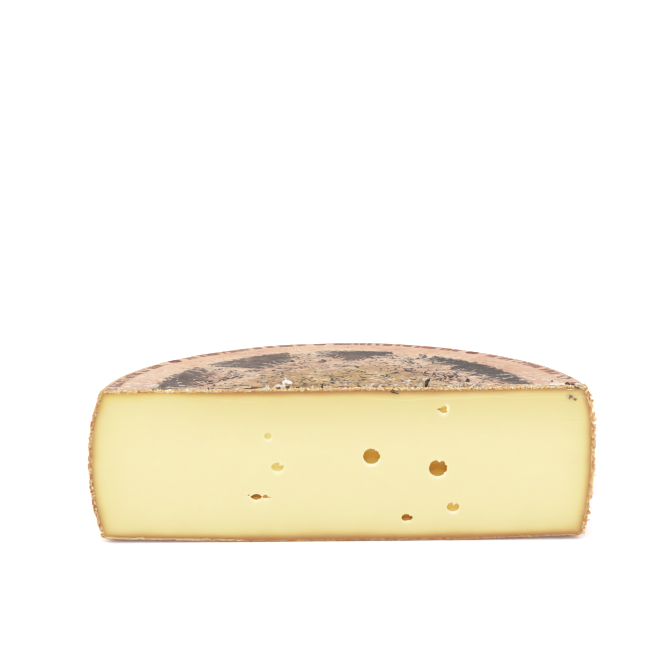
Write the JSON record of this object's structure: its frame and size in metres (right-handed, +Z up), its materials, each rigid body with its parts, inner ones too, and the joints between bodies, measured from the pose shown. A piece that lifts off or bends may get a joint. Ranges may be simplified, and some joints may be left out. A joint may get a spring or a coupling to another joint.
{
  "type": "half cheese wheel",
  "caption": "Half of a round washed-rind mountain cheese lying flat, with a smooth cut face showing a few eyes, a brown rind and a printed paper label on top.",
  "frame": {"origin": "on the surface the cheese stands on, under the middle of its bounding box", "axes": "+X along the cut face, left to right as the cut face is looked at; +Y from the cut face to the back of the rind; +Z up through the label"},
  "size_m": [0.3, 0.15, 0.094],
  "materials": {
    "cheese": "pale ivory-yellow paste with a waxy sheen, browning towards an orange-brown washed rind",
    "label": "thin matt paper grown onto the rind, salmon ground printed in dark red, dark brown and ochre"
  },
  "bodies": {
    "root": {"cheese_half_wheel": "cheese", "top_label": "label"}
  },
  "joints": []
}
